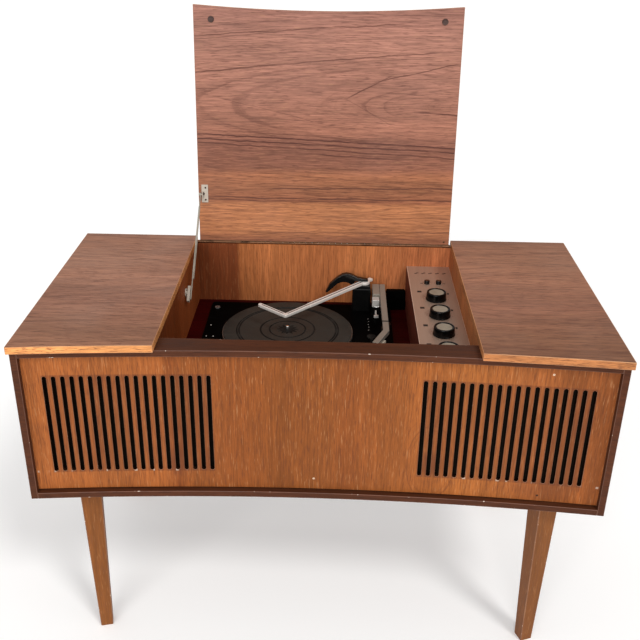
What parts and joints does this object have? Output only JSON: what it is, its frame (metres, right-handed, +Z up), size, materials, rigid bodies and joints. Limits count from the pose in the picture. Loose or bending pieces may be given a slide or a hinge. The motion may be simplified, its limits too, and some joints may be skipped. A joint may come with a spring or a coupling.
{
  "type": "radio phonograph console",
  "caption": "Low console on tapered legs with a curved slotted front, an open lid on a stay, a sunken record deck with tonearm and overarm, and a side control plate.",
  "frame": {"origin": "on the floor, under the middle of the whole object with its lid open", "axes": "+X to the right seen from the front, +Y towards the back, +Z up"},
  "size_m": [1.03, 0.5801, 1.1326],
  "materials": {
    "side_teak": "satin veneer",
    "frame_dark": "dark satin",
    "front_teak": "satin veneer",
    "top_teak": "worn satin veneer",
    "well_teak": "satin veneer",
    "deck_board": "gloss lacquer",
    "leg_wood": "satin",
    "lid_teak": "satin veneer",
    "hardboard": "matte",
    "baffle_board": "matte",
    "black_plastic": "gloss",
    "leg_steel": "zinc plated",
    "hinge_brass": "aged",
    "buffer_rubber": "matte",
    "stay_plastic": "matte",
    "stay_steel": "satin",
    "champagne_aluminium": "brushed and anodised",
    "knob_black": "gloss with a spun metal cap",
    "button_chrome": "polished",
    "chassis_steel": "grey",
    "transformer_steel": "laminated",
    "grille_fabric": "woven",
    "speaker_steel": "matte",
    "speaker_paper": "paper",
    "deck_black": "semi-gloss",
    "spring_steel": "plain",
    "screw_brass": "plain",
    "spindle_steel": "polished",
    "platter_aluminium": "spun rim",
    "mat_rubber": "ribbed",
    "motor_steel": "plain",
    "pulley_brass": "turned",
    "idler_rubber": "matte",
    "arm_chrome": "bright",
    "arm_champagne": "satin lacquer",
    "shell_plastic": "gloss",
    "rest_plastic": "gloss",
    "overarm_silver": "bright",
    "handle_black": "gloss"
  },
  "bodies": {
    "carcass": {"side_panel_left": "side_teak", "side_panel_right": "side_teak", "bottom_board": "frame_dark", "top_rail": "frame_dark", "front_panel": "front_teak", "top_left": "top_teak", "top_right": "top_teak", "well_wall_left": "well_teak", "well_wall_right": "well_teak", "well_wall_back": "well_teak", "well_wall_front": "well_teak", "motor_board": "deck_board", "control_cheek": "well_teak", "leg_front_left": "leg_wood", "leg_front_right": "leg_wood", "leg_rear_left": "leg_wood", "leg_rear_right": "leg_wood", "back_cover": "hardboard", "speaker_baffles": "baffle_board", "mains_inlet": "black_plastic", "leg_plates": "leg_steel", "hinge_leaf_fixed": "hinge_brass", "stay_guide": "stay_plastic", "control_panel": "champagne_aluminium", "amplifier_chassis": "chassis_steel", "mains_transformer": "transformer_steel", "potentiometers": "chassis_steel", "grille_cloths": "grille_fabric", "speaker_left": "speaker_steel", "speaker_right": "speaker_steel", "speaker_cones": "speaker_paper", "unit_plate": "deck_black", "deck_springs": "spring_steel", "transit_screws": "screw_brass", "spindle": "spindle_steel", "deck_motor": "motor_steel", "arm_rest": "rest_plastic", "overarm_pillar": "deck_black"},
    "lid": {"lid": "lid_teak", "hinge_leaf_lid": "hinge_brass", "lid_buffers": "buffer_rubber", "stay_bracket": "stay_plastic"},
    "stay": {"stay_rod": "stay_steel"},
    "volume": {"volume_knob": "knob_black"},
    "bass": {"bass_knob": "knob_black"},
    "treble": {"treble_knob": "knob_black"},
    "balance": {"balance_knob": "knob_black"},
    "power": {"power_button": "button_chrome"},
    "mono": {"mono_button": "button_chrome"},
    "turntable": {"platter": "platter_aluminium", "platter_mat": "mat_rubber"},
    "idler": {"idler_wheel": "idler_rubber"},
    "pulley": {"motor_pulley": "pulley_brass"},
    "yoke": {"tonearm_yoke": "arm_chrome"},
    "arm": {"tonearm": "arm_champagne", "cartridge_shell": "shell_plastic"},
    "post": {"overarm_post": "spindle_steel"},
    "record_arm": {"overarm": "overarm_silver", "overarm_handle": "handle_black"},
    "lever": {"speed_lever": "handle_black"}
  },
  "joints": [
    {"name": "lid_hinge", "type": "hinge", "parent": "carcass", "child": "lid", "pos_m": [0, 0.232, 0.65], "axis": [1, 0, 0], "range_deg": [0, 95.6]},
    {"name": "stay_pivot", "type": "hinge", "parent": "lid", "child": "stay", "pos_m": [-0.2615, 0.23546, 0.75518], "axis": [1, 0, 0], "range_deg": [-95.6, 0]},
    {"name": "volume_turn", "type": "hinge", "parent": "carcass", "child": "volume", "pos_m": [0.2296, 0.059, 0.612], "axis": [0, 0, -1], "range_deg": [-150, 150]},
    {"name": "bass_turn", "type": "hinge", "parent": "carcass", "child": "bass", "pos_m": [0.2296, -0.018, 0.612], "axis": [0, 0, -1], "range_deg": [-150, 150]},
    {"name": "treble_turn", "type": "hinge", "parent": "carcass", "child": "treble", "pos_m": [0.2296, -0.095, 0.612], "axis": [0, 0, -1], "range_deg": [-150, 150]},
    {"name": "balance_turn", "type": "hinge", "parent": "carcass", "child": "balance", "pos_m": [0.2296, -0.172, 0.612], "axis": [0, 0, -1], "range_deg": [-150, 150]},
    {"name": "power_press", "type": "slide", "parent": "carcass", "child": "power", "axis": [0, 0, -1], "range_m": [0, 0.003], "stiffness_N_per_m": 300, "springref_m": -0.002},
    {"name": "mono_press", "type": "slide", "parent": "carcass", "child": "mono", "axis": [0, 0, -1], "range_m": [0, 0.003], "stiffness_N_per_m": 300, "springref_m": -0.002},
    {"name": "platter_spin", "type": "hinge", "parent": "carcass", "child": "turntable", "pos_m": [-0.067, 0.05, 0.53], "axis": [0, 0, -1], "continuous": true},
    {"name": "idler_spin", "type": "hinge", "parent": "carcass", "child": "idler", "pos_m": [-0.15291, 0.0996, 0.521], "axis": [0, 0, -1], "continuous": true},
    {"name": "pulley_spin", "type": "hinge", "parent": "carcass", "child": "pulley", "pos_m": [-0.16498, 0.06643, 0.521], "axis": [0, 0, -1], "continuous": true},
    {"name": "tonearm_swing", "type": "hinge", "parent": "carcass", "child": "yoke", "pos_m": [0.117, 0.147, 0.54], "axis": [0, 0, -1], "range_deg": [0, 42]},
    {"name": "tonearm_lift", "type": "hinge", "parent": "yoke", "child": "arm", "pos_m": [0.117, 0.147, 0.556], "axis": [-1, 0, 0], "range_deg": [0, 12]},
    {"name": "overarm_lift", "type": "slide", "parent": "carcass", "child": "post", "axis": [0, 0, 1], "range_m": [0, 0.02]},
    {"name": "overarm_swing", "type": "hinge", "parent": "post", "child": "record_arm", "pos_m": [0.09, 0.191, 0.58], "axis": [0, 0, 1], "range_deg": [0, 50]},
    {"name": "speed_turn", "type": "hinge", "parent": "carcass", "child": "lever", "pos_m": [0.104, 0.05, 0.528], "axis": [0, 0, 1], "range_deg": [-20, 20]}
  ],
  "couplings": [
    {"joint": "stay_pivot", "follows": "lid_hinge", "ratio": -1},
    {"joint": "idler_spin", "follows": "platter_spin", "ratio": 4.3167},
    {"joint": "pulley_spin", "follows": "platter_spin", "ratio": -25.9}
  ]
}
